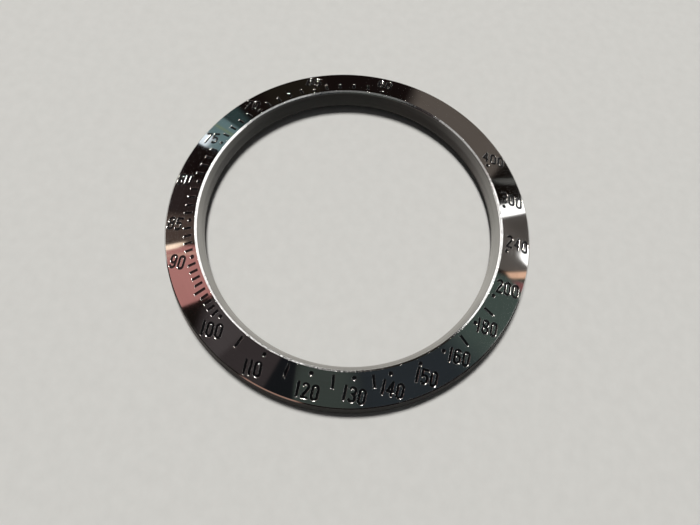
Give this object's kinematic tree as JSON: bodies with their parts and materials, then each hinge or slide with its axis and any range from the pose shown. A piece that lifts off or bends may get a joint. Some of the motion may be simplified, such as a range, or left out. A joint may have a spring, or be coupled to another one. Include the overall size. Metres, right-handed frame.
{
  "type": "watch bezel",
  "caption": "Fixed steel chronograph bezel: a turned ring with a sloping polished face and a speed scale of numbers, dots and ticks engraved and filled with black lacquer.",
  "frame": {"origin": "on the ring's axis, in the plane of its underside", "axes": "+Z along the ring's axis, out of the face; +Y towards the 60 mark"},
  "size_m": [0.039, 0.039, 0.0024],
  "materials": {
    "steel": "mirror-polished stainless steel, satin-turned inside the bore",
    "lacquer": "glossy black lacquer"
  },
  "bodies": {
    "root": {"bezel_ring": "steel", "index_dots": "lacquer", "unit_ticks": "lacquer", "long_ticks": "lacquer", "numeral_60": "lacquer", "numeral_65": "lacquer", "numeral_70": "lacquer", "numeral_75": "lacquer", "numeral_80": "lacquer", "numeral_85": "lacquer", "numeral_90": "lacquer", "numeral_100": "lacquer", "numeral_110": "lacquer", "numeral_120": "lacquer", "numeral_130": "lacquer", "numeral_140": "lacquer", "numeral_150": "lacquer", "numeral_160": "lacquer", "numeral_180": "lacquer", "numeral_200": "lacquer", "numeral_240": "lacquer", "numeral_300": "lacquer", "numeral_400": "lacquer"}
  },
  "joints": []
}
